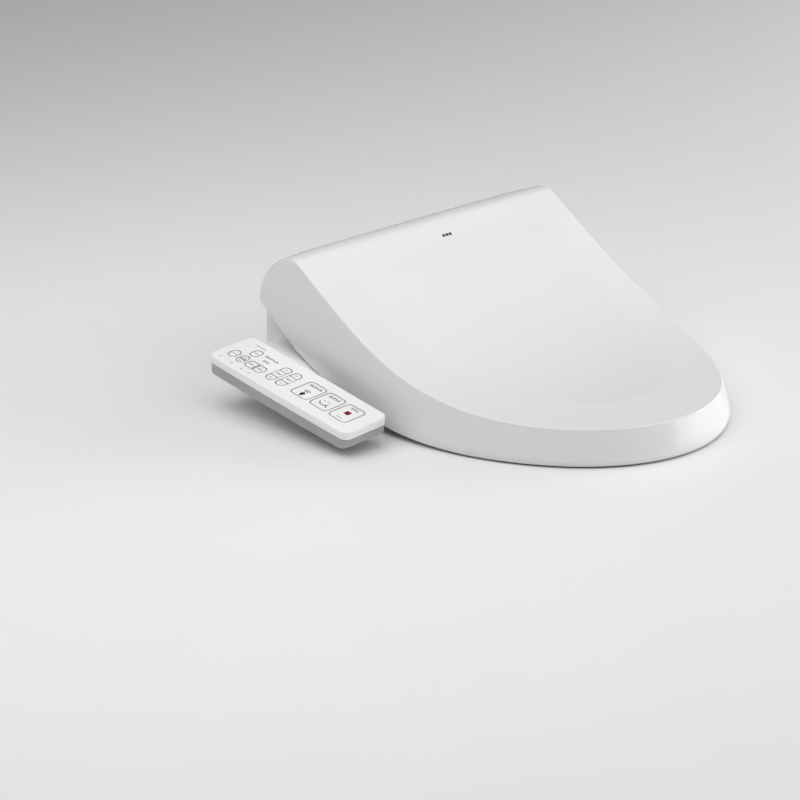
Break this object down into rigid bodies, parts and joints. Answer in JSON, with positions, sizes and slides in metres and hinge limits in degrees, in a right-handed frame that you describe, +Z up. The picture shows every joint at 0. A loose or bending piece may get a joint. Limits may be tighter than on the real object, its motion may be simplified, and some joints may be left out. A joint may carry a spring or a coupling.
{
  "type": "electric bidet seat",
  "caption": "Electric bidet seat with a sloping hinged lid, a heated seat ring, two wash nozzles and a side control panel on an arm.",
  "frame": {"origin": "midway between the two fixing bolts, on the underside of the mounting bracket, which is the plane of the bowl's rim", "axes": "+Z up from the rim, -Y to the front of the seat, the control panel on the -X side"},
  "size_m": [0.4738, 0.469, 0.156],
  "materials": {
    "gloss_white": "moulded, high gloss",
    "satin_white": "moulded, soft gloss",
    "key_white": "moulded, satin, printed outline",
    "tray_grey": "moulded, fine grain",
    "dark_plastic": "moulded",
    "soft_rubber": "matt",
    "circuit_board": "solder mask",
    "inner_grey": "moulded",
    "heater_foil": "foil heater",
    "steel": "brushed",
    "brass": "plated, turned"
  },
  "bodies": {
    "base": {"main_cover": "satin_white", "base_plate": "inner_grey", "mounting_bracket": "inner_grey", "bolt_plate_left": "inner_grey", "bolt_plate_right": "inner_grey", "hinge_shaft_left": "steel", "hinge_shaft_right": "steel", "hinge_damper_left": "dark_plastic", "hinge_damper_right": "dark_plastic", "water_tank": "inner_grey", "solenoid_valve": "dark_plastic", "deodoriser_fan": "dark_plastic", "main_board": "circuit_board", "inlet_fitting": "brass", "cord_gland": "dark_plastic", "drain_plug": "satin_white", "nozzle_housing": "satin_white", "rear_wash_motor": "dark_plastic", "front_wash_motor": "dark_plastic", "panel_cover": "satin_white", "panel_board": "circuit_board", "panel_tray": "tray_grey", "panel_arm": "satin_white"},
    "seat": {"seat_top": "satin_white", "seat_base": "satin_white", "seat_heater": "heater_foil", "seat_bumper_rear_left": "soft_rubber", "seat_bumper_rear_right": "soft_rubber", "seat_bumper_front_left": "soft_rubber", "seat_bumper_front_right": "soft_rubber"},
    "lid": {"lid_shell": "gloss_white", "lid_bumper_left": "soft_rubber", "lid_bumper_right": "soft_rubber"},
    "rear_nozzle": {"rear_wash_nozzle": "steel", "rear_wash_nozzle_tip": "inner_grey"},
    "front_nozzle": {"front_wash_nozzle": "steel", "front_wash_nozzle_tip": "inner_grey"},
    "filter": {"filter_cartridge": "satin_white"},
    "release": {"release_button": "tray_grey"},
    "key_power": {"key_power": "key_white"},
    "key_wide_spray": {"key_wide_spray": "key_white"},
    "key_moving_spray": {"key_moving_spray": "key_white"},
    "key_energy_saver": {"key_energy_saver": "key_white"},
    "key_water_heat": {"key_water_heat": "key_white"},
    "key_seat_heat": {"key_seat_heat": "key_white"},
    "key_pressure_less": {"key_pressure_less": "key_white"},
    "key_pressure_more": {"key_pressure_more": "key_white"},
    "key_nozzle_back": {"key_nozzle_back": "key_white"},
    "key_nozzle_forward": {"key_nozzle_forward": "key_white"},
    "key_rear_wash": {"key_rear_wash": "key_white"},
    "key_front_wash": {"key_front_wash": "key_white"},
    "key_stop": {"key_stop": "key_white"}
  },
  "joints": [
    {"name": "seat_hinge", "type": "hinge", "parent": "base", "child": "seat", "pos_m": [0, -0.0165, 0.107], "axis": [-1, 0, 0], "range_deg": [0, 100]},
    {"name": "lid_hinge", "type": "hinge", "parent": "seat", "child": "lid", "pos_m": [0, -0.0165, 0.107], "axis": [1, 0, 0], "range_deg": [-100, 0]},
    {"name": "rear_nozzle_slide", "type": "slide", "parent": "base", "child": "rear_nozzle", "axis": [0, -0.9511, -0.309], "range_m": [0, 0.085]},
    {"name": "front_nozzle_slide", "type": "slide", "parent": "base", "child": "front_nozzle", "axis": [0, -0.9511, -0.309], "range_m": [0, 0.085]},
    {"name": "filter_slide", "type": "slide", "parent": "base", "child": "filter", "axis": [1, 0, 0], "range_m": [0, 0.03]},
    {"name": "release_press", "type": "slide", "parent": "base", "child": "release", "axis": [-1, 0, 0], "range_m": [0, 0.004], "stiffness_N_per_m": 800},
    {"name": "power_press", "type": "slide", "parent": "base", "child": "key_power", "axis": [0.0785, 0.1463, -0.9861], "range_m": [0, 0.0008], "stiffness_N_per_m": 1500},
    {"name": "wide_spray_press", "type": "slide", "parent": "base", "child": "key_wide_spray", "axis": [0.0785, 0.1463, -0.9861], "range_m": [0, 0.0008], "stiffness_N_per_m": 1500},
    {"name": "moving_spray_press", "type": "slide", "parent": "base", "child": "key_moving_spray", "axis": [0.0785, 0.1463, -0.9861], "range_m": [0, 0.0008], "stiffness_N_per_m": 1500},
    {"name": "energy_saver_press", "type": "slide", "parent": "base", "child": "key_energy_saver", "axis": [0.0785, 0.1463, -0.9861], "range_m": [0, 0.0008], "stiffness_N_per_m": 1500},
    {"name": "water_heat_press", "type": "slide", "parent": "base", "child": "key_water_heat", "axis": [0.0785, 0.1463, -0.9861], "range_m": [0, 0.0008], "stiffness_N_per_m": 1500},
    {"name": "seat_heat_press", "type": "slide", "parent": "base", "child": "key_seat_heat", "axis": [0.0785, 0.1463, -0.9861], "range_m": [0, 0.0008], "stiffness_N_per_m": 1500},
    {"name": "pressure_less_press", "type": "slide", "parent": "base", "child": "key_pressure_less", "axis": [0.0785, 0.1463, -0.9861], "range_m": [0, 0.0008], "stiffness_N_per_m": 1500},
    {"name": "pressure_more_press", "type": "slide", "parent": "base", "child": "key_pressure_more", "axis": [0.0785, 0.1463, -0.9861], "range_m": [0, 0.0008], "stiffness_N_per_m": 1500},
    {"name": "nozzle_back_press", "type": "slide", "parent": "base", "child": "key_nozzle_back", "axis": [0.0785, 0.1463, -0.9861], "range_m": [0, 0.0008], "stiffness_N_per_m": 1500},
    {"name": "nozzle_forward_press", "type": "slide", "parent": "base", "child": "key_nozzle_forward", "axis": [0.0785, 0.1463, -0.9861], "range_m": [0, 0.0008], "stiffness_N_per_m": 1500},
    {"name": "rear_wash_press", "type": "slide", "parent": "base", "child": "key_rear_wash", "axis": [0.0785, 0.1463, -0.9861], "range_m": [0, 0.0008], "stiffness_N_per_m": 1500},
    {"name": "front_wash_press", "type": "slide", "parent": "base", "child": "key_front_wash", "axis": [0.0785, 0.1463, -0.9861], "range_m": [0, 0.0008], "stiffness_N_per_m": 1500},
    {"name": "stop_press", "type": "slide", "parent": "base", "child": "key_stop", "axis": [0.0785, 0.1463, -0.9861], "range_m": [0, 0.0008], "stiffness_N_per_m": 1500}
  ]
}
